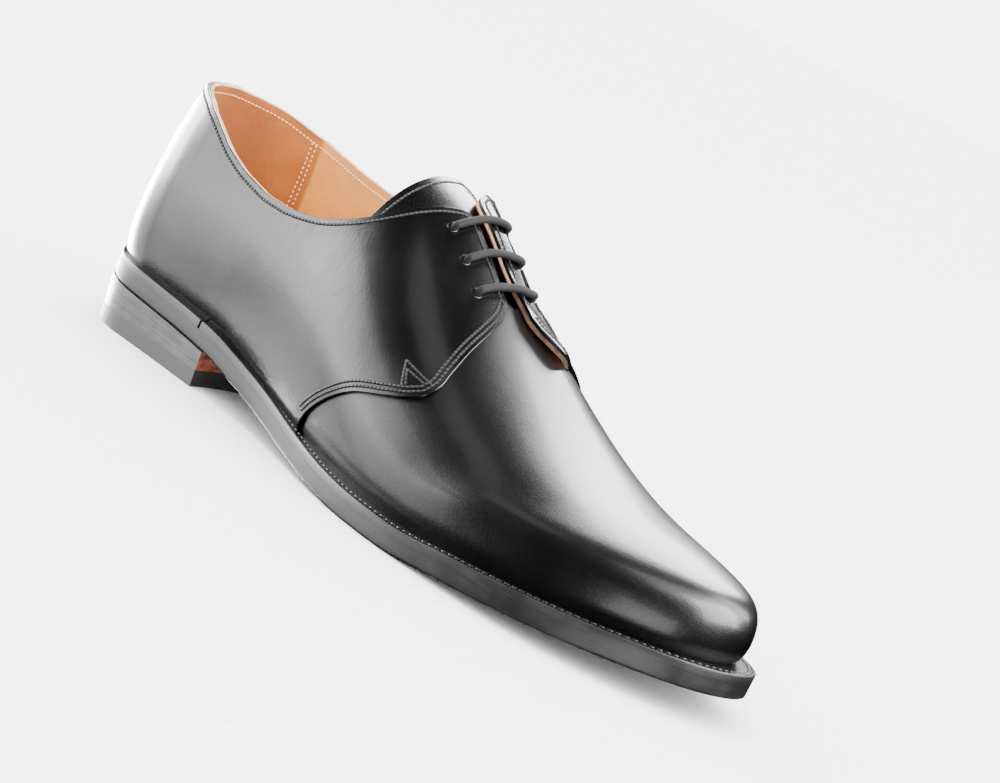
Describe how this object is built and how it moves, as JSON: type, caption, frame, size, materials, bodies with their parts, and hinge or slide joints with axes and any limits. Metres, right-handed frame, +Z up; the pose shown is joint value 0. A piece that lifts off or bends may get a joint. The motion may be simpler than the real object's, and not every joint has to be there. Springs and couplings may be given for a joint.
{
  "type": "derby shoe",
  "caption": "Black calf derby dress shoe for the right foot, laced, with welted leather sole, stacked heel and tan lining",
  "frame": {"origin": "on the floor under the middle of the heel, where the round of the heel seat is centred", "axes": "+X to the toe, +Y to the inner side of the foot, +Z up"},
  "size_m": [0.3008, 0.1075, 0.1038],
  "materials": {
    "upper_calf": "polished smooth box calf",
    "lining_leather": "matte natural tan lining",
    "sole_edge": "black inked and waxed leather sole edge",
    "welt_strip": "black inked leather strip, stitched",
    "heel_stack": "black inked stacked leather, brown at the breast",
    "heel_rubber": "fine matte",
    "lace_cotton": "round waxed cotton"
  },
  "bodies": {
    "root": {"upper": "upper_calf", "tongue": "upper_calf", "outsole": "sole_edge", "welt": "welt_strip", "heel_rand": "welt_strip", "heel_lift_1": "heel_stack", "heel_lift_2": "heel_stack", "heel_lift_3": "heel_stack", "top_piece": "heel_rubber", "insole": "lining_leather", "lace_bar_1": "lace_cotton", "lace_bar_2": "lace_cotton", "lace_bar_3": "lace_cotton"}
  },
  "joints": []
}
